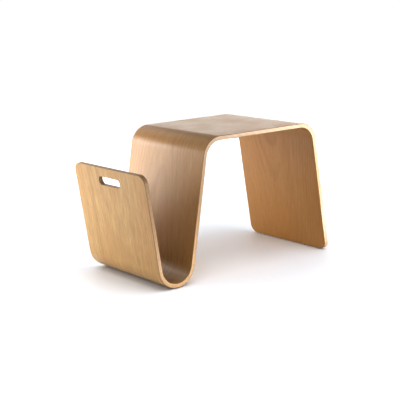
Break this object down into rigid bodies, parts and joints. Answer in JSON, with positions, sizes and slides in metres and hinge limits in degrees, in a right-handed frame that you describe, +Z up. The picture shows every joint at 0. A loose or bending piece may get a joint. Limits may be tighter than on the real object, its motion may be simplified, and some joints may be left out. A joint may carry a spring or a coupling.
{
  "type": "magazine rack side table",
  "caption": "Bent plywood side table whose board folds down into a magazine pocket, with a hand slot in the front panel.",
  "frame": {"origin": "on the floor, under the middle of the table's length and width", "axes": "+X along the table from the pocket to the end leg, +Y across the table, +Z up"},
  "size_m": [0.6934, 0.342, 0.406],
  "materials": {
    "face_veneer": "light oak veneer, satin lacquer, grain along the board",
    "long_ply": "birch ply cut along the grain, lacquered edge",
    "crossband": "birch ply cut across the grain, lacquered edge",
    "floor_pad": "translucent soft pad"
  },
  "bodies": {
    "root": {"top_face_veneer": "face_veneer", "crossband_1": "crossband", "long_ply_1": "long_ply", "crossband_2": "crossband", "long_ply_2": "long_ply", "crossband_3": "crossband", "long_ply_3": "long_ply", "crossband_4": "crossband", "bottom_face_veneer": "face_veneer", "pocket_pad_front": "floor_pad", "pocket_pad_back": "floor_pad", "leg_pad_front": "floor_pad", "leg_pad_back": "floor_pad"}
  },
  "joints": []
}
